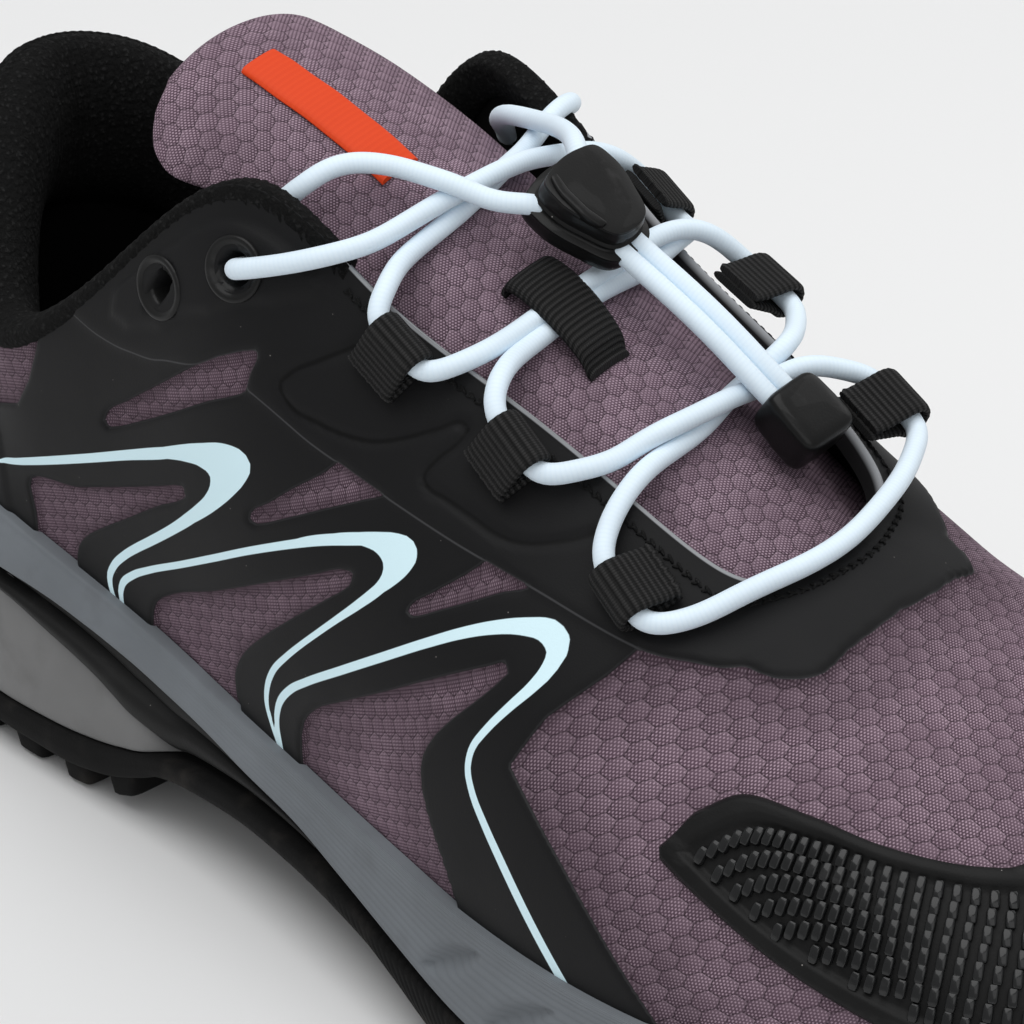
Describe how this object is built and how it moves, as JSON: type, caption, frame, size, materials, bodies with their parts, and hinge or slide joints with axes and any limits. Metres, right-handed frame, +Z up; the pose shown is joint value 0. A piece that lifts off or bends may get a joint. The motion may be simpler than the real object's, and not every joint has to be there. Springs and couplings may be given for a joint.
{
  "type": "outdoor shoe",
  "caption": "Low-cut right outdoor shoe: hollow hexagon-weave upper with black film overlays, padded collar, drawcord lacing with a cord lock, and a lugged sole with an arched waist.",
  "frame": {"origin": "on the floor, under the middle of the box round the sole", "axes": "+X from heel to toe, +Y to the wearer's left (the inner side of this right shoe), +Z up"},
  "size_m": [0.2912, 0.1079, 0.1323],
  "materials": {
    "outsole_rubber": "matte black rubber",
    "midsole_foam": "grey moulded foam",
    "waist_plastic": "satin black plastic",
    "upper_fabric": "mauve grey hexagon weave",
    "insole_foam": "black foam with a knit face",
    "overlay_film": "matte black film",
    "toe_rubber": "satin black rubber",
    "collar_knit": "black knit over padding",
    "eyelet_black": "gloss black",
    "webbing_black": "black ribbed webbing",
    "cord_blue": "pale blue braided cord",
    "lock_black": "satin black plastic",
    "label_orange": "bright orange"
  },
  "bodies": {
    "root": {"outsole": "outsole_rubber", "heel_block": "midsole_foam", "waist_plate": "waist_plastic", "midsole": "midsole_foam", "upper": "upper_fabric", "insole": "insole_foam", "tongue": "upper_fabric", "eyestay": "overlay_film", "overlay_lateral": "overlay_film", "overlay_medial": "overlay_film", "toe_cap": "toe_rubber", "heel_counter": "overlay_film", "collar": "collar_knit", "lace": "cord_blue", "cord_lock": "lock_black", "cord_lock_button": "lock_black", "cord_end": "lock_black", "tongue_label": "label_orange", "tongue_keeper": "webbing_black", "eyelet_lateral_front": "eyelet_black", "eyelet_lateral_rear": "eyelet_black", "loop_lateral_rear": "webbing_black", "loop_lateral_middle": "webbing_black", "loop_lateral_front": "webbing_black", "lace_tail_lateral": "cord_blue", "lace_end_lateral": "cord_blue", "eyelet_medial_front": "eyelet_black", "eyelet_medial_rear": "eyelet_black", "loop_medial_rear": "webbing_black", "loop_medial_middle": "webbing_black", "loop_medial_front": "webbing_black", "lace_tail_medial": "cord_blue", "lace_end_medial": "cord_blue"}
  },
  "joints": []
}
